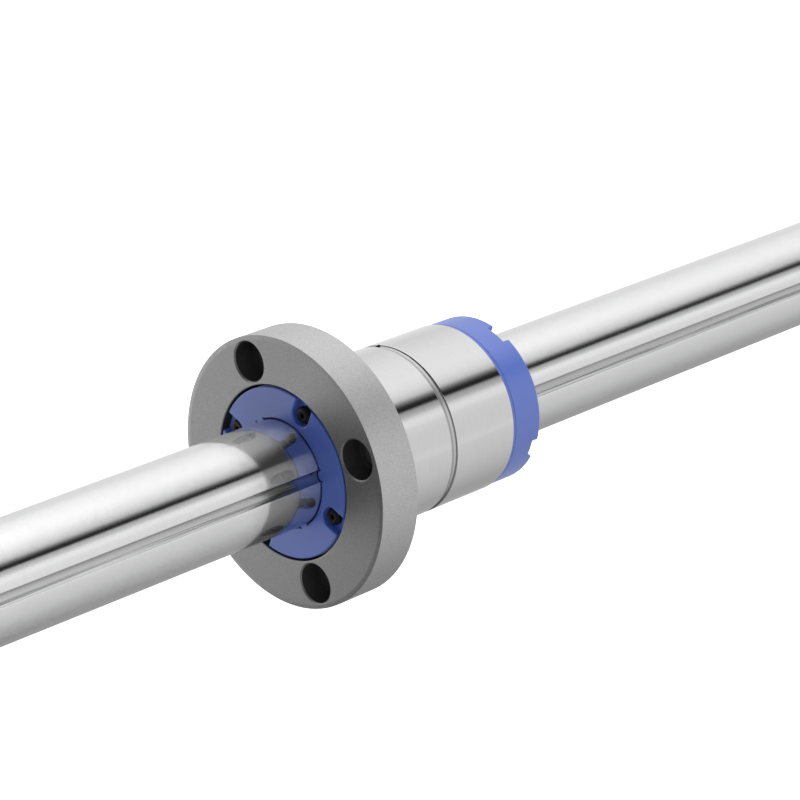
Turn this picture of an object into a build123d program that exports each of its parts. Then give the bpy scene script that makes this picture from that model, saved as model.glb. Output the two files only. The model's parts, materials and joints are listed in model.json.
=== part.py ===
from build123d import *
from math import acos, asin, cos, degrees, hypot, pi, radians, sin
import os

os.makedirs("parts", exist_ok=True)

# A flanged ball spline nut on its grooved shaft, in millimetres.
# +X runs along the shaft from the flange to the rear cap, +Z is up, and the origin is the
# centre of the flange's seating face. Angles are read in the YZ plane from +Y towards +Z.

# Shaft
shaft_d = 30.0
shaft_len = 400.0
shaft_front = 153.0           # seating face to the shaft's front end
shaft_end_chamfer = 1.5
groove_edge_break = 0.15

# Balls, and the four rows that they run in
ball_d = 3.969
ball_stand_share = 0.277      # height of a ball's centre over the shaft's surface, by ball_d
groove_clearance = 0.095      # raceway radius over ball radius
row_half_angle = 35.5         # each row's angle above or below the horizontal
turn_r = 2.85                 # radius of the balls' path from a row to its return hole
lift_angle = 48.0             # lean of a turn from straight outwards, towards the horizontal
way_clearance = 0.1655        # return hole radius over ball radius
ball_gap = 0.04               # least gap between neighbouring balls

# Nut body
flange_t = 13.0
body_len = 64.5               # steel body with its flange
body_wall = 1.49              # outside a return hole
flange_edge = 0.15            # back edge of the flange's rim
flange_bevel_w = 1.2          # shallow bevel round the flange's front face
flange_bevel_t = 0.12
recess_edge = 0.15
body_edge = 0.4
oil_groove_x = 28.0           # seating face to the groove's centre
oil_groove_w = 2.2
oil_groove_d = 0.4
oil_hole_d = 2.4
oil_hole_angle = 54.0

# Flange holes for M6 socket head screws
bolt_count = 4
bolt_first_angle = 45.0
bolt_hole_d = 6.6
counterbore_d = 11.0
counterbore_depth = 6.5
counterbore_edge = 0.4
bolt_inset = 0.9              # recess wall to the counterbore
flange_rim = 1.5              # counterbore to the flange's edge

# Ball retainer, a sleeve between the shaft and the nut
retainer_gap = 0.3            # to the shaft
retainer_wall = 1.4
retainer_fit = 0.1            # to the nut's bore
retainer_ring = 0.8           # closed ring past the ends of its slots
retainer_slot_clearance = 0.085

# End caps with their plates and wiper seals
cap_setback = 0.3             # cap's edge below the body's surface
cap_edge = 0.5
cap_recess_gap = 0.65         # front cap to the wall of the flange's recess
plate_t = 0.7
part_line = 0.25              # chamfer that shows between plate and cap
lip_t = 3.0                   # outer lip that covers the seal
seal_play = 0.1               # seal to the end of the retainer
lip_gap = 0.35                # lip to the shaft
tongue_gap = 0.25             # lip's tongue to the shaft's groove
tongue_relief_r = 0.35
seal_t = 1.6
seal_clearance = 0.06
saddle_cheek = 0.8
saddle_fit = 0.1

# Cap screws, M2.5 button heads
screw_count = 4
screw_d = 2.5
screw_len = 16.0
screw_head_d = 4.9
screw_head_h = 1.45
screw_head_side = 0.45
screw_head_top_d = 2.9
screw_socket_af = 1.5
screw_socket_depth = 0.9
screw_inset = 2.8             # bore wall to the screw's centre
screw_play = 0.2              # cap hole radius over screw radius
screw_thread_play = 0.04
tapped_depth = 10.0
pocket_w = 6.0
pocket_depth = 2.1
pocket_edge = 0.3

# Radii and stations that follow from the sizes above
shaft_r = shaft_d / 2
ball_r = ball_d / 2
groove_r = ball_r + groove_clearance
way_r = ball_r + way_clearance
row_r = shaft_r + ball_stand_share * ball_d
return_x = row_r + 2 * turn_r * cos(radians(lift_angle))
return_r = hypot(return_x, 2 * turn_r * sin(radians(lift_angle)))
return_turn = degrees(acos(return_x / return_r))
retainer_in_r = shaft_r + retainer_gap
retainer_out_r = retainer_in_r + retainer_wall
bore_r = retainer_out_r + retainer_fit
body_r = return_r + way_r + body_wall
cap_r = body_r - cap_setback
recess_r = cap_r + cap_recess_gap
bolt_circle_r = recess_r + bolt_inset + counterbore_d / 2
flange_r = bolt_circle_r + counterbore_d / 2 + flange_rim
screw_circle_r = bore_r + screw_inset
retainer_over = turn_r + way_r + retainer_ring
cap_len = retainer_over + seal_play + seal_t + lip_t
flange_face_x = -flange_t
front_face_x = flange_face_x + cap_len
rear_face_x = flange_face_x + body_len
rear_end_x = rear_face_x + cap_len
pocket_floor_x = rear_end_x - pocket_depth
screw_angles = [360 * i / screw_count for i in range(screw_count)]
bolt_angles = [bolt_first_angle + 360 * i / bolt_count for i in range(bolt_count)]
front, rear = -1, 1


def on_circle(radius, angle):
    """The y and z of a point on a circle about the shaft."""
    return radius * cos(radians(angle)), radius * sin(radians(angle))


def bar(radius, x0, x1, centre=(0, 0)):
    """A round bar along X."""
    return Pos((x0 + x1) / 2, *centre) * Rot(0, 90, 0) * Cylinder(radius, x1 - x0)


def turned(points):
    """A solid turned about X from the (x, radius) corners of its profile."""
    return revolve(make_face(Polyline(*points, close=True)), Axis.X, 360)


def face_at(x):
    """A plane across the shaft, whose own x and y are the model's y and z."""
    return Plane(origin=(x, 0, 0), x_dir=(0, 1, 0), z_dir=(1, 0, 0))


def at_the_front(shape):
    """The same moulding turned round to the nut's front end."""
    return Pos(front_face_x + rear_face_x, 0, 0) * Rot(0, 0, 180) * shape


class Row:
    """One circuit of balls: a loaded row, its return hole and the two turns between them."""

    def __init__(self, side, sense):
        base = 0 if side > 0 else 180
        self.angle = base + side * sense * row_half_angle
        back_angle = base + side * sense * (row_half_angle - return_turn)
        self.loaded = Vector(0, *on_circle(row_r, self.angle))
        self.back = Vector(0, *on_circle(return_r, back_angle))
        self.middle = (self.loaded + self.back) / 2
        self.out = (self.loaded - self.middle).normalized()

    def turn_axis(self, end):
        """The axis of the turn at one end, directed so that a turn swings away from the nut."""
        x = rear_face_x if end == rear else front_face_x
        return Axis(self.middle + Vector(x, 0, 0), self.out.cross(Vector(end, 0, 0)))

    def turn(self, end, radius):
        """The round way from the loaded row over to the return hole."""
        axis = self.turn_axis(end)
        start = Plane(origin=axis.position + self.out * turn_r, z_dir=(1, 0, 0))
        return revolve(start * Circle(radius), axis, 180)

    def saddle(self, end, radius, width):
        """The half drum that fills the inside of a turn."""
        axis = self.turn_axis(end)
        across = Plane(origin=axis.position, x_dir=self.out, z_dir=self.out.cross(axis.direction))
        return revolve(across * Pos(radius / 2, 0) * Rectangle(radius, width), axis, 180)

    def straight(self, centre, radius, x0, x1):
        return bar(radius, x0, x1, (centre.Y, centre.Z))


rows = [Row(1, 1), Row(-1, -1), Row(-1, 1), Row(1, -1)]
saddle_w = 2 * (way_r + saddle_cheek)


def ring_profile(outer_r, gap, groove_gap):
    """A ring round the shaft, with a tongue that reaches into each of its grooves."""
    tongues = [Pos(r.loaded.Y, r.loaded.Z) * Circle(groove_r - groove_gap) for r in rows]
    ring = Circle(outer_r) - Circle(shaft_r + gap)
    for tongue in tongues:
        ring += tongue & Circle(outer_r)
    return ring


def tongue_root_angle():
    """The angle from a row's centre to where its tongue leaves the lip's bore."""
    bore, tip = shaft_r + lip_gap, groove_r - tongue_gap
    return degrees(acos((bore ** 2 + row_r ** 2 - tip ** 2) / (2 * bore * row_r)))


def make_shaft():
    x0 = -shaft_front
    x1 = x0 + shaft_len
    section = Circle(shaft_r)
    for row in rows:
        section -= Pos(row.loaded.Y, row.loaded.Z) * Circle(groove_r)
    section = chamfer(section.vertices(), groove_edge_break)
    c = shaft_end_chamfer
    blank = turned([(x0, 0), (x0, shaft_r - c), (x0 + c, shaft_r), (x1 - c, shaft_r),
                    (x1, shaft_r - c), (x1, 0)])
    return extrude(face_at(x0) * section, shaft_len) & blank


def make_nut_body():
    f, b, e, m = flange_edge, body_edge, counterbore_edge, recess_edge
    groove_0 = oil_groove_x - oil_groove_w / 2
    groove_1 = oil_groove_x + oil_groove_w / 2
    body = turned([
        (front_face_x, bore_r), (front_face_x, recess_r), (flange_face_x + m, recess_r),
        (flange_face_x, recess_r + m), (flange_face_x, flange_r - flange_bevel_w),
        (flange_face_x + flange_bevel_t, flange_r), (-f, flange_r), (0, flange_r - f),
        (0, body_r), (groove_0, body_r),
        (groove_0, body_r - oil_groove_d), (groove_1, body_r - oil_groove_d), (groove_1, body_r),
        (rear_face_x - b, body_r), (rear_face_x, body_r - b), (rear_face_x, bore_r)])
    for row in rows:
        body -= row.straight(row.loaded, groove_r, front_face_x, rear_face_x)
        body -= row.straight(row.back, way_r, front_face_x, rear_face_x)
    for angle in bolt_angles:
        y, z = on_circle(bolt_circle_r, angle)
        seat_x = flange_face_x + counterbore_depth
        body -= bar(bolt_hole_d / 2, flange_face_x, 0, (y, z))
        body -= Pos(0, y, z) * turned([
            (flange_face_x, 0), (flange_face_x, counterbore_d / 2 + e),
            (flange_face_x + e, counterbore_d / 2), (seat_x, counterbore_d / 2), (seat_x, 0)])
    for angle in screw_angles:
        centre = on_circle(screw_circle_r, angle)
        body -= bar(screw_d / 2, rear_face_x - tapped_depth, rear_face_x, centre)
        body -= bar(screw_d / 2, front_face_x, front_face_x + tapped_depth, centre)
    return body - oil_hole(oil_hole_d / 2)


def oil_hole(radius):
    """The oil hole, drilled square to the body from its groove into the bore."""
    depth = body_r - retainer_in_r + 1
    hole = Pos(0, retainer_in_r - 0.5 + depth / 2, 0) * Rot(90, 0, 0) * Cylinder(radius, depth)
    return Pos(oil_groove_x, 0, 0) * Rot(oil_hole_angle, 0, 0) * hole


def make_retainer():
    sleeve = turned([
        (front_face_x - retainer_over, retainer_in_r), (front_face_x - retainer_over, retainer_out_r),
        (rear_face_x + retainer_over, retainer_out_r), (rear_face_x + retainer_over, retainer_in_r)])
    slot_r = ball_r + retainer_slot_clearance
    for row in rows:
        sleeve -= row.straight(row.loaded, slot_r, front_face_x, rear_face_x)
        sleeve -= row.turn(front, way_r)
        sleeve -= row.turn(rear, way_r)
    return sleeve - oil_hole(oil_hole_d / 2)


def make_rear_plate():
    """The thin plate on the nut's face, with the half drums that the balls turn round."""
    plate = bar(cap_r, rear_face_x, rear_face_x + plate_t)
    for row in rows:
        plate += row.saddle(rear, turn_r, saddle_w)
    for row in rows:
        plate -= row.turn(rear, way_r)
    for angle in screw_angles:
        plate -= bar(screw_d / 2 + screw_play, rear_face_x, rear_face_x + plate_t,
                     on_circle(screw_circle_r, angle))
    return plate - bar(bore_r, rear_face_x, rear_end_x)


def make_rear_cap():
    """The moulded cap: outer lip, seal seat, ball turns and four pockets for the screws."""
    x0 = rear_face_x + plate_t
    lip_x = rear_end_x - lip_t
    p, e = part_line, cap_edge
    cap = turned([(x0, bore_r), (x0, cap_r - p), (x0 + p, cap_r), (rear_end_x - e, cap_r),
                  (rear_end_x, cap_r - e), (rear_end_x, bore_r)])
    lip = ring_profile(bore_r, lip_gap, tongue_gap)
    for row in rows:
        for side in (-1, 1):
            corner = on_circle(shaft_r + lip_gap, row.angle + side * tongue_root_angle())
            lip -= Pos(*corner) * Circle(tongue_relief_r)
    cap += extrude(face_at(lip_x) * lip, lip_t)
    for angle in screw_angles:
        pocket = Circle(pocket_w / 2) + Pos(cap_r / 2, 0) * Rectangle(cap_r, pocket_w)
        pocket = Rot(0, 0, angle) * Pos(screw_circle_r, 0) * pocket
        cap -= extrude(face_at(pocket_floor_x) * pocket, pocket_depth)
    rims = cap.faces().sort_by(Axis.X)[-1].edges().filter_by(
        lambda rim: rim.geom_type == GeomType.LINE or abs(rim.radius - pocket_w / 2) < 1e-6)
    cap = chamfer(rims, pocket_edge)
    for angle in screw_angles:
        cap -= bar(screw_d / 2 + screw_play, x0, pocket_floor_x, on_circle(screw_circle_r, angle))
    for row in rows:
        cap -= row.turn(rear, way_r)
        cap -= row.saddle(rear, turn_r + saddle_fit, saddle_w + 2 * saddle_fit)
    return cap


def make_rear_seal():
    x0 = rear_end_x - lip_t - seal_t
    return extrude(face_at(x0) * ring_profile(retainer_out_r, seal_clearance, seal_clearance), seal_t)


def make_rear_screw(angle):
    """One M2.5 button head screw, seated on the floor of its pocket."""
    seat, tip = pocket_floor_x, pocket_floor_x - screw_len
    shank_r = screw_d / 2 - screw_thread_play
    top = seat + screw_head_h
    screw = turned([
        (tip, 0), (tip, shank_r), (seat, shank_r), (seat, screw_head_d / 2),
        (seat + screw_head_side, screw_head_d / 2), (top, screw_head_top_d / 2), (top, 0)])
    socket = RegularPolygon(screw_socket_af / 2, 6, major_radius=False)
    screw -= extrude(face_at(top - screw_socket_depth) * socket, screw_socket_depth)
    return Pos(0, *on_circle(screw_circle_r, angle)) * screw


def make_circuit(row):
    """The balls of one circuit, evenly spread over the loaded row, return hole and turns."""
    least = ball_d + ball_gap
    crowding = 2 * turn_r * asin(least / (2 * turn_r)) / least
    run = rear_face_x - front_face_x
    turn = pi * turn_r / crowding
    whole = 2 * (run + turn)
    count = int(whole / least)
    balls = []
    for i in range(count):
        s = whole * i / count
        if s < run:
            place = row.loaded + Vector(front_face_x + s, 0, 0)
        elif s < run + turn:
            swing = pi * (s - run) / turn
            place = row.middle + row.out * (turn_r * cos(swing))
            place += Vector(rear_face_x + turn_r * sin(swing), 0, 0)
        elif s < 2 * run + turn:
            place = row.back + Vector(rear_face_x - (s - run - turn), 0, 0)
        else:
            swing = pi * (s - 2 * run - turn) / turn
            place = row.middle - row.out * (turn_r * cos(swing))
            place += Vector(front_face_x - turn_r * sin(swing), 0, 0)
        balls.append(Pos(place) * Sphere(ball_r))
    return Compound(children=balls)


nodes = {
    "spline_shaft": make_shaft(),
    "nut_body": make_nut_body(),
    "ball_retainer": make_retainer(),
}
for name, shape in {
    "return_plate": make_rear_plate(),
    "end_cap": make_rear_cap(),
    "wiper_seal": make_rear_seal(),
}.items():
    nodes["rear_" + name] = shape
    nodes["front_" + name] = at_the_front(shape)
for i, angle in enumerate(screw_angles, 1):
    screw = make_rear_screw(angle)
    nodes[f"rear_cap_screw_{i}"] = screw
    nodes[f"front_cap_screw_{i}"] = at_the_front(screw)
for i, row in enumerate(rows, 1):
    nodes[f"ball_circuit_{i}"] = make_circuit(row)

for name, shape in nodes.items():
    export_step(shape, f"parts/{name}.step")
    print(name, round(shape.volume, 2))
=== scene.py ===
# %% [markdown]
# Ball spline shaft: a flanged nut with blue end caps on a bright ground shaft.
# The first cell loads the packed model as a fixed frame. Its nodes are already in place, in
# metres, with +X along the shaft, so every new piece is measured from them and never fitted.

# %% Load the frame
import json
from math import acos, asin, atan2, cos, degrees, hypot, pi, radians, sin, sqrt

import bmesh
import bpy
from mathutils import Matrix, Vector

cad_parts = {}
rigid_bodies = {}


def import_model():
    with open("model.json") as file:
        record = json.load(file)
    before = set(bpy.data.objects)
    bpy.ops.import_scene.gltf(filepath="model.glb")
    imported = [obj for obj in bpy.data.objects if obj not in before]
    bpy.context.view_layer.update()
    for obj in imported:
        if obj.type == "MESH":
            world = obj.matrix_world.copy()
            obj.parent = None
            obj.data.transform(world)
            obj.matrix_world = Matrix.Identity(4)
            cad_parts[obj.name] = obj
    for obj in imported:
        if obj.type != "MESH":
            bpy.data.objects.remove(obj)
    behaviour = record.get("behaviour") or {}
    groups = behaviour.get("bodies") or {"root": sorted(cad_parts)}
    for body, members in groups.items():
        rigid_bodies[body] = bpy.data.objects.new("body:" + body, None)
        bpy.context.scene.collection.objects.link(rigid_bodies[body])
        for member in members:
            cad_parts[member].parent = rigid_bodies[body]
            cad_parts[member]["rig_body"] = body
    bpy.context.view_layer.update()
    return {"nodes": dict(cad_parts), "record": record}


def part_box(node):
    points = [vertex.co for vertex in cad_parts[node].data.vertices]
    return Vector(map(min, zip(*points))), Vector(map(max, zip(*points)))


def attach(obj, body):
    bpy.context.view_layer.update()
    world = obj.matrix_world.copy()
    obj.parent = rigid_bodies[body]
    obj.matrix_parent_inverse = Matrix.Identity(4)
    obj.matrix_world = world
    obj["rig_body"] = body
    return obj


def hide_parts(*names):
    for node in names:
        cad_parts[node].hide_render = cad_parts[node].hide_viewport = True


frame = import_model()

nodes = frame["nodes"]

# %% [markdown]
# The camera comes first, because it decides which surfaces matter. A long lens seen from
# above and to the front left gives the slight narrowing of the shaft towards the back. The
# nut is turned a little about its own shaft compared with the frame, so the camera is placed
# about an upright shaft first and then turned about X by that angle.

# %% Camera
mm = 0.001
nut_turn = radians(21.5)
camera_azimuth = radians(-45.108)
camera_elevation = radians(22.091)
camera_right, camera_up, camera_back = 31.183 * mm, 19.351 * mm, 826.48 * mm
focal_pixels = 3126.7
frame_pixels = 800
sensor_width = 36.0

back = Vector((sin(camera_azimuth) * cos(camera_elevation),
               -cos(camera_azimuth) * cos(camera_elevation), sin(camera_elevation)))
right = Vector((cos(camera_azimuth), sin(camera_azimuth), 0))
up = back.cross(right)
untilt = Matrix.Rotation(-nut_turn, 3, "X")
flange_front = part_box("nut_body")[0].x
right, up, back = untilt @ right, untilt @ up, untilt @ back
place = Vector((flange_front, 0, 0)) + camera_right * right + camera_up * up + camera_back * back

lens = bpy.data.cameras.new("camera")
lens.sensor_width = sensor_width
lens.lens = focal_pixels * sensor_width / frame_pixels
lens.clip_end = 20
camera = bpy.data.objects.new("camera", lens)
camera.matrix_world = Matrix.Translation(place) @ Matrix((right, up, back)).transposed().to_4x4()
bpy.context.scene.collection.objects.link(camera)
bpy.context.scene.camera = camera
bpy.context.scene.view_settings.view_transform = "Standard"
print("lens mm:", round(lens.lens, 1), "camera at:", [round(v, 3) for v in place])

# %% [markdown]
# The sizes that the finishes and the pieces share come next. The frame holds the packed boxes
# and mounts, so those are read from it. The few that it doesn't hold are the CAD's own values.
# They are in millimetres, because that is how such a part is drawn.

# %% Sizes, read from the frame where it holds them
def corners(node):
    """A node's lowest and highest corner in millimetres."""
    low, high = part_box(node)
    return low / mm, high / mm


mounts = {mount["name"]: mount["dims"] for mount in frame["record"]["mounts"]}
bolt_circle_r = mounts["flange_bolts"]["pcd_mm"] / 2
bolt_hole_r = mounts["flange_bolts"]["hole_r_mm"]
body_r = mounts["body_spigot"]["r_mm"]
nut_low, nut_high = corners("nut_body")
flange_front_x, rear_face_x = nut_low.x, nut_high.x
flange_r = -nut_low.y
front_face_x = corners("front_return_plate")[1].x
cap_back_x, cap_end_x = (corner.x for corner in corners("rear_end_cap"))
shaft_x0, shaft_x1 = (corner.x for corner in corners("spline_shaft"))
shaft_r = 15.0
groove_r, row_r = 2.08, 16.1
row_half_angle = 35.5
oil_groove_x = 28.0
print("nut from", round(flange_front_x, 2), "to", round(rear_face_x, 2), "front cap on", front_face_x)

# %% [markdown]
# Shader nodes are easier to read as sums than as boxes and wires. This class wraps one output
# of a node, so that Python's own operators add Math nodes, and one method adds any other node.

# %% A shader value that can be used in a sum
class Shade:
    """One output of a shader node."""

    def __init__(self, tree, socket=None):
        self.tree = tree
        self.socket = socket

    def node(self, kind, settings=None, inputs=None, output=0):
        """Adds a node: its settings first, then the values or links of its sockets."""
        made = self.tree.nodes.new("ShaderNode" + kind)
        for name, value in (settings or {}).items():
            if name == "stops":
                ramp = made.color_ramp.elements
                ramp[0].position, ramp[1].position = value[0][0], value[-1][0]
                for place_on_ramp, _ in value[1:-1]:
                    ramp.new(place_on_ramp)
                for element, (_, level) in zip(ramp, value):
                    element.color = (level, level, level, 1)
            else:
                setattr(made, name, value)
        sockets = {s.identifier: s for s in made.inputs}
        for name, value in (inputs or {}).items():
            if isinstance(value, Shade):
                self.tree.links.new(value.socket, sockets[name])
            else:
                sockets[name].default_value = value
        return Shade(self.tree, made.outputs[output])

    def math(self, operation, other=0.0):
        """A Math node on this value and another."""
        return self.node("Math", {"operation": operation}, {"Value": self, "Value_001": other})

    def __add__(self, other):
        return self.math("ADD", other)

    def __sub__(self, other):
        return self.math("SUBTRACT", other)

    def __rsub__(self, other):
        return self.node("Math", {"operation": "SUBTRACT"}, {"Value": other, "Value_001": self})

    def __mul__(self, other):
        return self.math("MULTIPLY", other)

    def __truediv__(self, other):
        return self.math("DIVIDE", other)

    __radd__ = __add__
    __rmul__ = __mul__

    def band(self, low, high):
        """0 below low and 1 above high, with a smooth step between them."""
        return self.node("MapRange", {"interpolation_type": "SMOOTHSTEP"},
                         {"Value": self, "From Min": low, "From Max": high})

    def axes(self):
        """The three parts of a vector."""
        split = self.node("SeparateXYZ", inputs={"Vector": self})
        outputs = split.socket.node.outputs
        return [Shade(self.tree, outputs[i]) for i in range(3)]

    def noise(self, scale, detail=2.0, roughness=0.5):
        """Plain noise on this vector, about 0.5."""
        return self.node("TexNoise", inputs={"Vector": self, "Scale": scale, "Detail": detail,
                                             "Roughness": roughness})

    def mix(self, first, second):
        """Two colours mixed by this value."""
        return self.node("Mix", {"data_type": "RGBA"},
                         {"Factor_Float": self, "A_Color": first, "B_Color": second}, 2)


def vector(x, y, z):
    """Three values as one vector."""
    return x.node("CombineXYZ", inputs={"X": x, "Y": y, "Z": z})


def new_material(name):
    """A material, its main shader's inputs, and the object's own coordinates in millimetres."""
    material = bpy.data.materials.new(name)
    material.use_nodes = True
    tree = material.node_tree
    principled = tree.nodes["Principled BSDF"]
    position = Shade(tree).node("TexCoord", output=3)
    scaled = position.node("VectorMath", {"operation": "SCALE"}, {"Vector": position, "Scale": 1 / mm})
    return material, principled, scaled


def feed(principled, **inputs):
    """Sets or links the main shader's inputs, whose names have _ for a space here."""
    for name, value in inputs.items():
        socket = principled.inputs[name.replace("_", " ")]
        if isinstance(value, Shade):
            value.tree.links.new(value.socket, socket)
        else:
            socket.default_value = value


def bumped(height, depth):
    """A normal from a height between 0 and about 1, over a depth in millimetres."""
    return height.node("Bump", inputs={"Height": height, "Distance": depth * mm})


print("a shader value has:", [name for name in vars(Shade) if not name.startswith("_")])

# %% [markdown]
# Polished steel has no colour of its own: it shows the room. A studio hangs large soft panels
# round such a part and leaves a gap between two of them, and that gap is the dark streak along
# the shaft. The room here is the world's background. A ramp round the shaft's axis holds the
# panels' levels, so that every cylinder on the part shows the same streak, as it should. There
# are three ramps: one for the room behind the part, which the shaft and the body show, one for
# the room beside it and one for the room in front, which is nearly dark, because the camera
# stands there. The flange's face and the caps show those two. The near panel's lower edge leans
# a little, so the dark gap widens towards the front. The camera itself sees plain white.

# %% The room that the steel reflects
# Angles are about the shaft, from +Y towards +Z, in degrees; levels are linear.
room_levels = [(-180, 0.71), (-150, 0.62), (-105, 0.40), (-85, 0.39), (-72, 0.44), (-58, 0.62),
               (-48, 0.88), (-35, 0.87), (0, 0.76), (25, 0.86), (45, 0.93), (70, 0.96),
               (80, 0.93), (88, 0.84), (95, 0.66), (100, 0.22), (104, 0.04), (107, 0.01),
               (110.4, 0.01), (111.6, 0.34), (116, 0.46), (119, 0.56), (122, 0.78), (126, 0.90),
               (131, 0.87), (136, 0.77), (145, 0.73), (165, 0.72), (176, 0.76), (180, 0.71)]
beside_levels = [(-180, 0.45), (-150, 0.35), (-136, 0.15), (-110, 0.04), (-80, 0.03), (-60, 0.08),
                 (-40, 0.12), (0, 0.20), (20, 0.60), (45, 0.95), (70, 1.0), (88, 1.0), (95, 0.60),
                 (100, 0.12), (107, 0.0), (110.4, 0.0), (112, 0.42), (125, 0.62), (150, 0.58),
                 (180, 0.42)]
front_levels = [(-180, 0.22), (-120, 0.20), (-85, 0.30), (-55, 0.0), (-20, 0.0), (20, 0.42),
                (60, 0.14), (90, 0.05), (110, 0.05), (125, 0.13), (150, 0.18), (180, 0.22)]

gap_angle = 107
lean_below, lean_degrees = 0.58, 40
white = (1, 1, 1, 1)

world = bpy.data.worlds.new("studio")
bpy.context.scene.world = world
world.use_nodes = True
tree = world.node_tree
along, across, upwards = Shade(tree).node("TexCoord").axes()
turn = upwards.math("ARCTAN2", across) / (2 * pi) + 0.5


def on_ramp(angle):
    """Where an angle about the shaft lies on a ramp that runs from 0 to 1."""
    return (angle + 180) / 360


lean = (lean_below - along).math("MAXIMUM", 0.0) * (lean_degrees / 360)
leaning = turn.math("MAXIMUM", (turn + lean).math("MINIMUM", on_ramp(gap_angle)))


def ramp_round(levels):
    """A room's levels round the shaft, with the near panel's edge leaning."""
    stops = [(on_ramp(angle), level) for angle, level in levels]
    return leaning.node("ValToRGB", {"stops": stops}, {"Fac": leaning})


# How far a ray runs along the shaft says which room it ends in. The panels beside the part
# stand nearer than the others, so they shine up to twice as bright.
behind = along.band(0.30, 0.64)
not_in_front = along.band(-0.35, 0.0)
panels = behind.mix(ramp_round(beside_levels), ramp_round(room_levels))
panels = not_in_front.mix(ramp_round(front_levels), panels)
seen_by_camera = Shade(tree).node("LightPath")
seen = seen_by_camera.mix(panels, white)
strength = 1 + (1 - behind) * not_in_front * (1 - seen_by_camera)
tree.links.new(seen.socket, tree.nodes["Background"].inputs["Color"])
tree.links.new(strength.socket, tree.nodes["Background"].inputs["Strength"])
print("levels behind:", len(room_levels), "beside:", len(beside_levels), "in front:", len(front_levels))

# %% [markdown]
# The lamps give the matt surfaces their shape: a large soft key above and behind, and a
# weaker one from the front left. Steel would show them as hard bright squares, so they are
# hidden from reflections, where the room takes their place. A small card in front is the one
# light that shows in the steel: it lifts the flange's dark face a little at its lower right.

# %% Lamps
def lamp(name, towards, distance, size, watts, in_reflections=False):
    """A square soft lamp that looks at the nut from a direction."""
    light = bpy.data.lights.new(name, "AREA")
    light.size = size
    light.energy = watts
    made = bpy.data.objects.new(name, light)
    direction = (untilt @ Vector(towards)).normalized()
    made.matrix_world = (Matrix.Translation(direction * distance)
                         @ direction.to_track_quat("Z", "Y").to_matrix().to_4x4())
    made.visible_camera = False
    made.visible_glossy = in_reflections
    bpy.context.scene.collection.objects.link(made)
    return made


lamps = [lamp("key", (0.35, -0.15, 1.0), distance=1.2, size=0.9, watts=4.0),
         lamp("fill", (-1.0, -0.9, 0.7), distance=1.4, size=0.9, watts=3.2),
         lamp("front_card", (-0.4, 0.87, -0.3), distance=0.4, size=0.3, watts=0.24,
              in_reflections=True)]
print("lamps:", [made.name for made in lamps])

# %% [markdown]
# The floor is plain and pale, and lies well below, because the part is held in the air by its
# flange. It takes a soft shadow, and it glows for the camera only, through Light Path, so that
# it reads as white without putting more light on the part.

# %% Floor
floor_drop = 0.30
floor_size = 12.0
floor_glow = 0.75
pale_grey, black = (0.85, 0.85, 0.85, 1), (0, 0, 0, 1)

floor_mesh = bpy.data.meshes.new("floor")
bm = bmesh.new()
bmesh.ops.create_grid(bm, x_segments=1, y_segments=1, size=floor_size / 2)
bmesh.ops.translate(bm, verts=bm.verts, vec=(0, 0, -floor_drop))
bm.to_mesh(floor_mesh)
bm.free()
floor = bpy.data.objects.new("floor", floor_mesh)
bpy.context.scene.collection.objects.link(floor)
floor.visible_glossy = False

floor_paint, principled, position = new_material("floor_paint")
for_camera = position.node("LightPath")
feed(principled, Base_Color=pale_grey, Roughness=0.9, Specular_IOR_Level=0.0,
     Emission_Color=for_camera.mix(black, white), Emission_Strength=floor_glow)
floor_mesh.materials.append(floor_paint)
print("floor at", -floor_drop, "m")

# %% [markdown]
# The steel is one alloy with two finishes. The shaft and the round body are ground, which
# leaves fine marks round the axis and a clear reflection with a soft veil over it. Roughness
# alone would blur the mirrored cap, so each mark keeps the plain normal or leans a little along
# the shaft: the plain ones mirror, and the leaning ones spread the light lengthwise. Most lean
# towards the front end, the way the grinding wheel was fed. The grooves are ground lengthwise,
# so there the normal leans round the shaft in long streaks. The shaft's end faces are turned,
# which leaves faint rings. The flange is only blasted, so it is matt and grey with a fine grain.

# %% Ground and blasted steel
def about_the_shaft(position):
    """x, the radius, and coordinates that run round the shaft with no seam."""
    x, y, z = position.axes()
    radius = (y * y + z * z).math("SQRT")
    return x, radius, y / radius, z / radius


def ground_lines(position, spacing, length):
    """Fine grinding lines round the axis: narrow along the shaft and long about it."""
    x, radius, round_y, round_z = about_the_shaft(position)
    stretched = vector(x / spacing, round_y * radius / length, round_z * radius / length)
    return stretched.noise(1.0, 3.0, 0.6)


def leaned(position, along_x, round_x):
    """The surface's normal, leaned along the shaft and round it."""
    round_y, round_z = about_the_shaft(position)[2:]
    normal = position.node("NewGeometry", output=1)
    push = vector(along_x, round_x * round_z * -1.0, round_x * round_y)
    tilted = normal.node("VectorMath", {"operation": "ADD"}, {"Vector": normal, "Vector_001": push})
    return tilted.node("VectorMath", {"operation": "NORMALIZE"}, {"Vector": tilted})


def grinding_marks(position, spacing, sectors, plain_share, steepest, to_front=0.4):
    """How far each fine mark leans: many not at all, the rest mostly towards the front end."""
    x, radius, round_y, round_z = about_the_shaft(position)
    mark = vector((x / spacing).math("FLOOR"), (round_y * sectors).math("FLOOR"),
                  (round_z * sectors).math("FLOOR"))
    chance = mark.node("TexWhiteNoise", inputs={"Vector": mark}) * 2.0 - 1.0
    past = (chance.math("ABSOLUTE") - plain_share).math("MAXIMUM", 0.0) / (1 - plain_share)
    return past * (chance.math("SIGN") * (1 - to_front) - to_front) * steepest


rim_from_r, rim_full_r = 36.3, 36.7
lit_line_aside = 0.35


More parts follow.
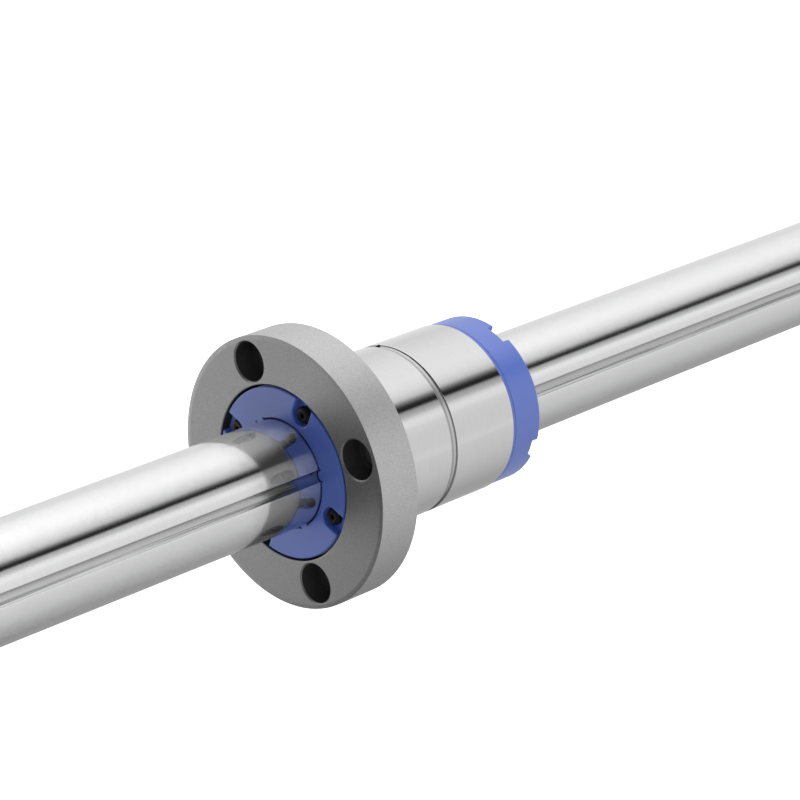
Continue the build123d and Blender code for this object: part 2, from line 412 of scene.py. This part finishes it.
def make_shaft_steel():
    material, principled, position = new_material("shaft_steel")
    x, radius, round_y, round_z = about_the_shaft(position)
    clouds = position.noise(0.05, 2.0)
    streaks = vector(x / 40, round_y * 40, round_z * 40).noise(1.0, 3.0, 0.6)
    fine_streaks = vector(x / 60, round_y * 160, round_z * 160).noise(1.0, 2.0, 0.6)
    half_length = (shaft_x1 - shaft_x0) / 2
    from_middle = (x - (shaft_x0 + half_length)).math("ABSOLUTE")
    end_face = from_middle.band(half_length - 0.1, half_length - 0.03)
    turned_rings = vector(radius * 4.0, 0.0, 0.0).noise(1.0, 2.0, 0.6)
    groove = (1 - radius.band(shaft_r - 0.14, shaft_r - 0.04)) * (1 - end_face)
    lines = ground_lines(position, 0.3, 6.0)
    marks = grinding_marks(position, spacing=0.002, sectors=40.0, plain_share=0.50, steepest=0.48)
    marks = marks * (1 - groove) * (1 - end_face)
    tone_ground = 0.82 + lines * 0.06 - marks.math("ABSOLUTE") * 0.5
    tone = tone_ground - groove * (0.34 - streaks * 0.14) - end_face * (0.30 - turned_rings * 0.16)
    roughness = 0.07 + clouds * 0.03 + groove * 0.08 + end_face * (0.18 + turned_rings * 0.1)
    feed(principled, Base_Color=vector(tone, tone, tone * 1.01), Metallic=1.0,
         Roughness=roughness, Normal=leaned(position, marks, groove * (fine_streaks - 0.5) * 1.6))
    return material


def make_nut_steel():
    material, principled, position = new_material("nut_steel")
    x, radius = about_the_shaft(position)[:2]
    lines = ground_lines(position, 0.18, 3.5)
    grain = position.noise(2.6, 2.0, 0.7)
    flange = 1 - x.band(-0.2, 0.0)
    # The rim and its bevel are painted a little lighter than the blasted face: painted light.
    rim = radius.band(rim_from_r, rim_full_r) * flange
    oil_groove = (1 - radius.band(body_r - 0.3, body_r - 0.05)) * (1 - flange)
    # The oil groove's near side is painted darker: painted shade from the groove's near wall.
    from_lit_line = x - (oil_groove_x + lit_line_aside)
    in_shade = (from_lit_line * from_lit_line).band(0.04, 0.2) * oil_groove
    tone_ground = 0.74 + lines * 0.10 - oil_groove * 0.14 - in_shade * 0.20
    tone_matt = 0.34 + grain * 0.42 + rim * 0.04
    tone = tone_ground + (tone_matt - tone_ground) * flange
    roughness = 0.06 + lines * 0.05 + oil_groove * 0.25 + flange * (0.38 + grain * 0.1)
    height = lines * 0.25 + flange * grain * 1.5
    feed(principled, Base_Color=vector(tone, tone, tone), Metallic=1.0,
         Roughness=roughness, Normal=bumped(height, 0.012))
    return material


finishes = {"shaft_steel": make_shaft_steel(), "nut_steel": make_nut_steel()}
print("steel finishes:", list(finishes))

# %% [markdown]
# The caps are moulded in blue plastic with a satin skin. Their colour is strong where they face
# the camera and pales towards their edges, where a moulded surface catches the studio's light.
# A high index of refraction and a little sheen do that. A fine grain breaks the gloss, and a few
# faint specks of dust and wear keep the blue from looking like paint on a screen.

# %% Blue moulded plastic
def make_cap_plastic():
    material, principled, position = new_material("cap_plastic")
    clouds = position.noise(0.12, 2.0)
    grain = position.noise(6.0, 2.0, 0.6)
    specks = position.noise(1.3, 1.0).band(0.76, 0.80)
    colour = clouds.mix((0.034, 0.115, 0.60, 1), (0.040, 0.130, 0.64, 1))
    colour = (specks * 0.35).mix(colour, (0.45, 0.52, 0.85, 1))
    feed(principled, Base_Color=colour, Roughness=0.36 + grain * 0.10, IOR=2.20,
         Sheen_Weight=0.40, Sheen_Roughness=0.45, Normal=bumped(grain, 0.006))
    return material


finishes["cap_plastic"] = make_cap_plastic()
print("plastic:", finishes["cap_plastic"].name)

# %% [markdown]
# The small parts come in plain finishes. The screws are black oxide on steel, so they are a dark
# metal with a dull shine. The bolt holes and the wall of the recess are painted near black:
# painted shade, standing in for the shade deep inside them. The seals are rubber, the balls polished
# steel, and the retainer is a pale natural plastic. Each varies a little over its surface, because
# no real finish is quite even.

# %% Black, rubber, ball and retainer finishes
def make_screw_black():
    material, principled, position = new_material("screw_black")
    grain = position.noise(5.0, 2.0)
    tone = 0.02 + grain * 0.02
    feed(principled, Base_Color=vector(tone, tone, tone * 1.03), Metallic=0.7,
         Roughness=0.26 + grain * 0.12, Normal=bumped(grain, 0.006))
    return material


# Painted shade: the inside of the bolt holes and the recess wall is painted near black.
def make_hole_painted_shade():
    material, principled, position = new_material("hole_black")
    grain = position.noise(2.0, 3.0)
    tone = 0.03 + grain * 0.03
    feed(principled, Base_Color=vector(tone, tone, tone), Roughness=0.36 + grain * 0.15,
         Specular_IOR_Level=0.35)
    return material


def make_seal_rubber():
    material, principled, position = new_material("seal_rubber")
    grain = position.noise(4.0, 2.0)
    tone = 0.012 + grain * 0.01
    feed(principled, Base_Color=vector(tone, tone, tone), Roughness=0.6 + grain * 0.1,
         Normal=bumped(grain, 0.01))
    return material


def make_ball_steel():
    material, principled, position = new_material("ball_steel")
    haze = position.noise(0.8, 2.0)
    feed(principled, Base_Color=(0.80, 0.80, 0.82, 1), Metallic=1.0, Roughness=0.04 + haze * 0.05)
    return material


def make_retainer_plastic():
    material, principled, position = new_material("retainer_plastic")
    clouds = position.noise(0.3, 2.0)
    colour = clouds.mix((0.62, 0.60, 0.52, 1), (0.70, 0.68, 0.60, 1))
    feed(principled, Base_Color=colour, Roughness=0.45 + clouds * 0.1)
    return material


finishes |= {"screw_black": make_screw_black(), "seal_rubber": make_seal_rubber(),
             "ball_steel": make_ball_steel(), "retainer_plastic": make_retainer_plastic()}
hole_black = make_hole_painted_shade()
print("all finishes:", ", ".join(finishes), "and", hole_black.name)

# %% [markdown]
# The record names a material slot for every node of the packed model. Here each node takes the
# finish of its slot, so the inner parts that the photograph hides are finished as well: the ball
# circuits, the retainer, the seals and the return plates are these nodes themselves.

# %% Each node takes the finish of its slot
for subpart in frame["record"]["subparts"]:
    mesh = nodes[subpart["node"]].data
    mesh.materials.clear()
    mesh.materials.append(finishes[subpart["material_slot"]])

# %% [markdown]
# The packed nodes carry the right shapes, but their round surfaces are made of facets and their
# edges are sharp, which polished steel shows at once. The shaft, the nut, the caps and the
# screws are therefore made again, finely, from the same sizes. All of this work is in
# millimetres, and a piece is brought to metres when it is finished.
#
# Nearly everything here is turned on a lathe, so the main helper turns a profile. Before it is
# spun, a bevel on the profile's corner points eases each edge, which costs a few points and
# gives every edge the fine line of light that a real one has. The flat faces are left open by
# the turning, and a fill closes each of them round the holes in it.

# %% Turning, flat faces and finished pieces
near = 0.003
sharp_angle = radians(38)
print("edges over", round(degrees(sharp_angle)), "degrees stay sharp")


def on_circle(radius, angle, x=0.0):
    """A point on a circle about the shaft, at an angle from +Y towards +Z."""
    return Vector((x, radius * cos(radians(angle)), radius * sin(radians(angle))))


def turned(bm, profile, steps, ease=0.12, centre=(0.0, 0.0), finish=0):
    """Turns an (x, radius) profile about an axis along X, with its corners eased."""
    old_verts, old_faces = set(bm.verts), set(bm.faces)
    line = [bm.verts.new((x, centre[0], centre[1] + radius)) for x, radius in profile]
    for pair in zip(line, line[1:]):
        bm.edges.new(pair)
    if len(line) > 2:
        bmesh.ops.bevel(bm, geom=line[1:-1], offset=ease, affect="VERTICES", segments=3,
                        profile=0.5, material=-1)
    verts = [v for v in bm.verts if v not in old_verts]
    edges = list(dict.fromkeys(e for v in verts for e in v.link_edges))
    bmesh.ops.spin(bm, geom=verts + edges, cent=(0, *centre), axis=(1, 0, 0), dvec=(0, 0, 0),
                   angle=2 * pi, steps=steps, use_merge=True)
    for face in bm.faces:
        if face not in old_faces:
            face.material_index = finish


def ring(bm, radius, x, count, centre=(0.0, 0.0)):
    """A circle of edges across the shaft."""
    placed = Matrix.Translation((x, *centre)) @ Matrix.Rotation(pi / 2, 4, "Y")
    made = bmesh.ops.create_circle(bm, segments=count, radius=radius, matrix=placed)
    return list(dict.fromkeys(e for v in made["verts"] for e in v.link_edges))


def open_edges(bm, x):
    """The edges across the shaft at x that still have a face on one side only."""
    return [e for e in bm.edges if len(e.link_faces) < 2
            and all(abs(v.co.x - x) < near for v in e.verts)]


def flat_face(bm, x):
    """Closes the flat face at x, between its outer edge and the holes in it."""
    bmesh.ops.remove_doubles(bm, verts=[v for v in bm.verts if abs(v.co.x - x) < near], dist=near)
    bmesh.ops.triangle_fill(bm, use_beauty=True, edges=open_edges(bm, x))


def drawn_out(bm, edges, along_x, widen=1.0):
    """Extends open edges along X, and scales the new ones about the shaft."""
    made = bmesh.ops.extrude_edge_only(bm, edges=edges)["geom"]
    verts = [g for g in made if isinstance(g, bmesh.types.BMVert)]
    bmesh.ops.translate(bm, verts=verts, vec=(along_x, 0, 0))
    bmesh.ops.scale(bm, verts=verts, vec=(1, widen, widen))
    return [g for g in made if isinstance(g, bmesh.types.BMEdge)]


def welded(bm):
    """Merges what touches, in order of place so that every run agrees, and turns faces outwards."""
    by_place = sorted(bm.verts, key=lambda v: v.co[:])
    bmesh.ops.remove_doubles(bm, verts=by_place, dist=near / 3)
    bmesh.ops.recalc_face_normals(bm, faces=bm.faces)


def finished_mesh(bm, name):
    """Shades a piece by its edges, brings it to metres and makes its mesh."""
    welded(bm)
    for face in bm.faces:
        face.smooth = True
    for edge in bm.edges:
        edge.smooth = edge.calc_face_angle(0) < sharp_angle
    unclosed = sum(1 for e in bm.edges if len(e.link_faces) != 2)
    bmesh.ops.scale(bm, verts=bm.verts, vec=(mm, mm, mm))
    mesh = bpy.data.meshes.new(name)
    bm.to_mesh(mesh)
    bm.free()
    print(name, "faces:", len(mesh.polygons), "unclosed edges:", unclosed)
    return mesh


def piece(name, mesh, node, slot, *more_finishes):
    """Puts a finished mesh in the place of its node."""
    made = bpy.data.objects.new(name, mesh)
    bpy.context.scene.collection.objects.link(made)
    for material in (finishes[slot], *more_finishes):
        mesh.materials.append(material)
    even = made.modifiers.new("even_shading", "WEIGHTED_NORMAL")
    even.keep_sharp = True
    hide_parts(node)
    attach(made, nodes[node]["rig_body"])
    return made


# %% [markdown]
# The shaft is one outline pushed along its length. The four grooves are round, a little wider
# than the balls, and sit in pairs above and below the horizontal. Their rims are broken by a
# hair's breadth, which is what draws the thin bright line beside each groove.

# %% Shaft
shaft_chamfer = 1.5
rim_break = 0.15
land_step = 2.5
row_angles = [row_half_angle, 180 - row_half_angle, 180 + row_half_angle, 360 - row_half_angle]


def crossing(radius, way_r):
    """Where a way's circle crosses a circle about the shaft: seen from the shaft and the way."""
    half = acos((radius ** 2 + row_r ** 2 - way_r ** 2) / (2 * radius * row_r))
    meets = atan2(radius * sin(half), radius * cos(half) - row_r)
    return degrees(half), degrees(meets)


def grooved_outline(bm, x, radius, inwards):
    """A circle about the shaft with a round way at each row, that cuts inwards or outwards."""
    half, meets = crossing(radius, groove_r)
    way_start = 360 - meets if inwards else -meets
    way_segments = 16
    verts, rims = [], []
    for row, following in zip(row_angles, row_angles[1:] + [row_angles[0] + 360]):
        for i in range(way_segments + 1):
            swing = way_start + (meets - way_start) * i / way_segments
            verts.append(bm.verts.new(on_circle(row_r, row, x) + on_circle(groove_r, row + swing)))
        rims += [verts[-1], verts[-1 - way_segments]]
        land = following - row - 2 * half
        land_segments = round(land / land_step)
        for i in range(1, land_segments):
            verts.append(bm.verts.new(on_circle(radius, row + half + land * i / land_segments, x)))
    for pair in zip(verts, verts[1:] + verts[:1]):
        bm.edges.new(pair)
    bmesh.ops.bevel(bm, geom=rims, offset=rim_break, affect="VERTICES", segments=2, profile=0.5,
                    material=-1)


bm = bmesh.new()
end_share = 1 - shaft_chamfer / shaft_r
grooved_outline(bm, shaft_x0, shaft_r, inwards=True)
bmesh.ops.scale(bm, verts=bm.verts, vec=(1, end_share, end_share))
edges = drawn_out(bm, bm.edges[:], shaft_chamfer, 1 / end_share)
edges = drawn_out(bm, edges, shaft_x1 - shaft_x0 - 2 * shaft_chamfer)
drawn_out(bm, edges, shaft_chamfer, end_share)
flat_face(bm, shaft_x0)
flat_face(bm, shaft_x1)
piece("shaft", finished_mesh(bm, "shaft"), "spline_shaft", "shaft_steel")

# %% [markdown]
# The nut's body is turned too: the flange's rim, the round body with its oil groove, and the
# recess that the front cap sits in. A profile that ends at a flat face runs on along it for a
# short lead, so that its last corner can be eased. The raceways and the balls' return holes run
# through the body.

# %% Nut body
body_steps, return_steps, tapped_steps = 240, 32, 24
bevel_width, bevel_depth = 1.2, 0.12
flange_edge, recess_edge, small_edge = 0.15, 0.15, 0.4
lead = 0.35
recess_r = 24.35
bore_r = 16.8
oil_groove_half, oil_groove_depth = 1.1, 0.4
turn_r, lift_angle = 2.85, radians(48)
return_hole_r = 2.15
screw_circle_r = bore_r + 2.8
tapped_r, tapped_depth = 1.25, 10.0
# The second finish's index: near black, painted shade inside the holes and on the recess wall.
painted_shade = 1

return_over = row_r + 2 * turn_r * cos(lift_angle)
return_aside = 2 * turn_r * sin(lift_angle)
return_r = hypot(return_over, return_aside)
return_half_angle = row_half_angle - degrees(atan2(return_aside, return_over))

bm = bmesh.new()
front_rim_r, back_rim_r = flange_r - bevel_width, flange_r - flange_edge
turned(bm, [(flange_front_x, front_rim_r - lead), (flange_front_x, front_rim_r),
            (flange_front_x + bevel_depth, flange_r), (-flange_edge, flange_r), (0, back_rim_r),
            (0, back_rim_r - lead)], body_steps, ease=0.1)
groove_0, groove_1 = oil_groove_x - oil_groove_half, oil_groove_x + oil_groove_half
groove_floor_r, groove_slope = body_r - oil_groove_depth, 0.25
turned(bm, [(0, body_r), (groove_0 - 1, body_r), (groove_0, body_r),
            (groove_0 + groove_slope, groove_floor_r), (groove_1 - groove_slope, groove_floor_r),
            (groove_1, body_r), (groove_1 + 1, body_r), (rear_face_x - small_edge, body_r),
            (rear_face_x, body_r - small_edge), (rear_face_x, body_r - small_edge - lead)],
       body_steps, ease=0.1)
wall_x = flange_front_x + 2 * recess_edge
turned(bm, [(flange_front_x, recess_r + recess_edge + lead), (flange_front_x, recess_r + recess_edge),
            (flange_front_x + recess_edge, recess_r), (wall_x, recess_r)], body_steps, ease=0.05)
# The recess wall takes the near black finish: painted shade in the gap round the front cap.
turned(bm, [(wall_x, recess_r), (front_face_x, recess_r)], body_steps, finish=painted_shade)
for i in range(4):
    centre = on_circle(screw_circle_r, 90 * i).yz
    for face_x, into in ((front_face_x, tapped_depth), (rear_face_x, -tapped_depth)):
        turned(bm, [(face_x, tapped_r), (face_x + into, tapped_r), (face_x + into, 0)],
               tapped_steps, ease=0.1, centre=centre)
for side in (0, 180):
    for angle in (side - return_half_angle, side + return_half_angle):
        turned(bm, [(front_face_x, return_hole_r), (rear_face_x, return_hole_r)], return_steps,
               centre=on_circle(return_r, angle).yz)
bore = bmesh.new()
grooved_outline(bore, front_face_x, bore_r, inwards=False)
drawn_out(bore, bore.edges[:], rear_face_x - front_face_x)
bore_mesh = bpy.data.meshes.new("bore")
bore.to_mesh(bore_mesh)
bore.free()
bm.from_mesh(bore_mesh)
for x in (flange_front_x, front_face_x, 0, rear_face_x):
    flat_face(bm, x)
welded(bm)
print("nut body before its holes are cut, faces:", len(bm.faces))

# %% [markdown]
# The bolt holes' mouths run into the flange's own edge, and the oil hole is wider than the
# groove it starts in, so each cuts several surfaces at once. That is a job for a Boolean
# modifier. Its result is taken as a new mesh straight away, so no cutter is left in the scene.
# The holes' insides take a second finish, painted near black: painted shade, standing in for
# the shade deep inside them.

# %% Bolt holes and oil hole
counterbore_r, counterbore_depth = 5.5, 6.5
oil_hole_r, oil_hole_angle = 1.2, radians(54)
counterbore_steps, oil_hole_steps = 72, 48
overrun = 1.0

cutter = bmesh.new()
mouth_x = flange_front_x + small_edge
seat_x = flange_front_x + counterbore_depth
for i in range(4):
    turned(cutter, [(flange_front_x - overrun, 0),
                    (flange_front_x - overrun, counterbore_r + small_edge + overrun),
                    (mouth_x, counterbore_r), (seat_x, counterbore_r), (seat_x, bolt_hole_r),
                    (overrun, bolt_hole_r), (overrun, 0)],
           counterbore_steps, ease=0.08, centre=on_circle(bolt_circle_r, 45 + 90 * i).yz)
drill_low, drill_high = bore_r - overrun, body_r + overrun
drill = bmesh.ops.create_cone(cutter, cap_ends=True, segments=oil_hole_steps,
                              radius1=oil_hole_r, radius2=oil_hole_r,
                              depth=drill_high - drill_low)["verts"]
bmesh.ops.translate(cutter, verts=drill, vec=(0, 0, (drill_low + drill_high) / 2))
bmesh.ops.rotate(cutter, verts=drill, cent=(0, 0, 0),
                 matrix=Matrix.Rotation(oil_hole_angle - pi / 2, 3, "X"))
bmesh.ops.translate(cutter, verts=drill, vec=(oil_groove_x, 0, 0))
welded(cutter)
# Faces past the holes' mouths take the near black finish, painted shade.
for face in cutter.faces:
    face.material_index = painted_shade * (face.calc_center_median().x > mouth_x)


def plain_object(bm, name):
    """An object that only lends its shape to the cut."""
    mesh = bpy.data.meshes.new(name)
    bm.to_mesh(mesh)
    bm.free()
    mesh.materials.append(finishes["nut_steel"])
    mesh.materials.append(hole_black)
    made = bpy.data.objects.new(name, mesh)
    bpy.context.scene.collection.objects.link(made)
    return made


blank, cutter = plain_object(bm, "blank"), plain_object(cutter, "cutter")
cut = blank.modifiers.new("cut", "BOOLEAN")
cut.operation = "DIFFERENCE"
cut.object = cutter
cut_mesh = bpy.data.meshes.new_from_object(
    blank.evaluated_get(bpy.context.evaluated_depsgraph_get()))
for spent in (blank, cutter):
    bpy.data.objects.remove(spent)
bm = bmesh.new()
bm.from_mesh(cut_mesh)
print("blackened faces:", sum(face.material_index for face in bm.faces))
piece("nut", finished_mesh(bm, "nut"), "nut_body", "nut_steel", hole_black)

# %% [markdown]
# Each end cap is one blue moulding, the same at both ends. Its face has four open pockets for
# the screws and a tongue that reaches into each groove of the shaft. A quarter of the face
# holds all of that, so a quarter is drawn and mirrored twice. The edges of the face are then
# drawn back to make the walls, and the outer ones are rounded as a mould rounds them.

# %% End caps
cap_r = 23.7
lip_r, lip_depth = 15.35, 3.0
tongue_r = groove_r - 0.25
relief_r = 0.35
pocket_half, pocket_depth = 3.0, 2.1
part_line = 0.25
cap_hole_r = 1.45
bore_steps, cap_hole_steps = 96, 32
moulded_edge = 0.4


def arc(centre, radius, start, end, count):
    """Points on an arc across the shaft, both ends included."""
    return [centre + on_circle(radius, start + (end - start) * i / count) for i in range(count + 1)]


def tongue_side():
    """Half of the lip's outline at a row that points along +Y, from the lip to the tongue's tip."""
    half, meets = crossing(lip_r, tongue_r)
    corner = on_circle(lip_r, half)
    middle = on_circle(row_r, 0)
    on_lip = on_circle(lip_r, half + 2 * degrees(asin(relief_r / 2 / lip_r)))
    on_tongue = meets + 2 * degrees(asin(relief_r / 2 / tongue_r))
    start, end = (degrees(atan2(to.z, to.y)) for to in
                  (on_lip - corner, middle + on_circle(tongue_r, on_tongue) - corner))
    relief = arc(corner, relief_r, start, end - 360 * (end > start), 8)
    return relief + arc(middle, tongue_r, on_tongue, 180, 6)[1:]


side = tongue_side()
lip_gap_angle = degrees(atan2(side[0].z, side[0].y))
turn_to_row = Matrix.Rotation(radians(row_half_angle), 3, "X")
tongue = [turn_to_row @ point for point in side]
tongue += [turn_to_row @ Vector((0, point.y, -point.z)) for point in side[-2::-1]]
mouth_angle = degrees(asin(pocket_half / cap_r))
origin = Vector((0, 0, 0))
quarter = (arc(on_circle(screw_circle_r, 0), pocket_half, 180, 90, 12)
           + arc(origin, cap_r, mouth_angle, 90 - mouth_angle, 44)
           + arc(on_circle(screw_circle_r, 90), pocket_half, 0, -90, 12)
           + arc(origin, lip_r, 90, row_half_angle + lip_gap_angle, 22)[:-1]
           + tongue
           + arc(origin, lip_r, row_half_angle - lip_gap_angle, 0, 14)[1:])

bm = bmesh.new()
bm.faces.new([bm.verts.new(point) for point in quarter])
for axis in "YZ":
    bmesh.ops.mirror(bm, geom=bm.verts[:] + bm.edges[:] + bm.faces[:], merge_dist=near, axis=axis)
bmesh.ops.translate(bm, verts=bm.verts, vec=(cap_end_x, 0, 0))
bmesh.ops.recalc_face_normals(bm, faces=bm.faces)
inner = [e for e in open_edges(bm, cap_end_x)
         if all(hypot(v.co.y, v.co.z) < lip_r + relief_r + near for v in e.verts)]
outer = [e for e in open_edges(bm, cap_end_x) if e not in inner]
print("cap face edges: inner", len(inner), "outer", len(outer))

drawn_out(bm, inner, -lip_depth)
bore_x = cap_end_x - lip_depth
bore_edges = ring(bm, bore_r, bore_x, bore_steps)
flat_face(bm, bore_x)
drawn_out(bm, bore_edges, cap_back_x - bore_x)

floor_x = cap_end_x - pocket_depth
drawn_out(bm, outer, -pocket_depth)
for i in range(4):
    points = arc(origin, cap_r, 90 * i - mouth_angle, 90 * i + mouth_angle, 8)
    verts = [bm.verts.new((floor_x, point.y, point.z)) for point in points]
    for pair in zip(verts, verts[1:]):
        bm.edges.new(pair)
    ring(bm, cap_hole_r, floor_x, cap_hole_steps, on_circle(screw_circle_r, 90 * i).yz)
bmesh.ops.remove_doubles(bm, verts=bm.verts, dist=near)
on_floor = open_edges(bm, floor_x)
outer_circle = [e for e in on_floor if all(hypot(v.co.y, v.co.z) > cap_r - near for v in e.verts)]
holes = [e for e in on_floor if not e.link_faces and e not in outer_circle]
drawn_out(bm, holes, cap_back_x - floor_x)
edges = drawn_out(bm, outer_circle, cap_back_x + part_line - floor_x)
drawn_out(bm, edges, -part_line, 1 - part_line / cap_r)
flat_face(bm, floor_x)
flat_face(bm, cap_back_x)
welded(bm)


corner_angle = 1.0


def takes_a_round(edge):
    """True for the face's outer edges and the corners and sills of the pockets."""
    if not edge.is_convex or edge.calc_face_angle(0) < corner_angle:
        return False
    radii = [hypot(v.co.y, v.co.z) for v in edge.verts]
    on_face = max(v.co.x for v in edge.verts) > cap_end_x - near
    return (on_face and min(radii) > screw_circle_r - pocket_half - near
            or min(radii) > cap_r - near and min(v.co.x for v in edge.verts) > floor_x - near)


bmesh.ops.bevel(bm, geom=[e for e in bm.edges if takes_a_round(e)], offset=moulded_edge,
                affect="EDGES", segments=4, profile=0.5, material=-1)
rear_mesh = finished_mesh(bm, "rear_cap")
front_mesh = rear_mesh.copy()
to_the_front = (Matrix.Translation(((front_face_x + rear_face_x) * mm, 0, 0))
                @ Matrix.Rotation(pi, 4, "Z"))
front_mesh.transform(to_the_front)
front_mesh.name = "front_cap"
piece("rear_cap", rear_mesh, "rear_end_cap", "cap_plastic")
piece("front_cap", front_mesh, "front_end_cap", "cap_plastic")

# %% [markdown]
# Eight small button head screws hold the caps. A head is turned as a low dome, and its hexagon
# socket is a six sided circle pushed in. One screw is made in the rear cap's first pocket, and
# the others are turned copies of it.

# %% Cap screws
screw_steps = 48
head_r, head_h, head_side, head_top_r = 2.45, 1.45, 0.45, 1.45
shank_r, screw_len = 1.21, 16.0
socket_corner_r, socket_depth = 1.5 / sqrt(3), 0.9
ring_r, ring_depth = 1.25, 0.12

bm = bmesh.new()
top_x = floor_x + head_h
dome = [(floor_x + head_side + (head_h - head_side) * sin(radians(t)),
         head_top_r + (head_r - head_top_r) * cos(radians(t))) for t in range(0, 91, 15)]
turned(bm, [(floor_x - screw_len, 0), (floor_x - screw_len, shank_r), (floor_x, shank_r),
            (floor_x, head_r)] + dome
       + [(top_x, ring_r), (top_x - ring_depth, ring_r - ring_depth),
          (top_x - ring_depth, ring_r - 2 * ring_depth)], screw_steps, ease=0.04)
mouth_of_socket = top_x - ring_depth
socket = ring(bm, socket_corner_r, mouth_of_socket, 6)
socket_floor = drawn_out(bm, socket, ring_depth - socket_depth)
bmesh.ops.holes_fill(bm, edges=socket_floor, sides=6)
flat_face(bm, mouth_of_socket)
bmesh.ops.translate(bm, verts=bm.verts, vec=on_circle(screw_circle_r, 0))
screw_mesh = finished_mesh(bm, "rear_screw_1")
for i in range(4):
    for end, moved in (("rear", Matrix.Identity(4)), ("front", to_the_front)):
        name = f"{end}_screw_{i + 1}"
        mesh = screw_mesh.copy()
        mesh.transform(moved @ Matrix.Rotation(i * pi / 2, 4, "X"))
        mesh.name = name
        piece(name, mesh, f"{end}_cap_screw_{i + 1}", "screw_black")

# %% [markdown] The new pieces stand for packed nodes, so the whole must keep the packed model's
# size.
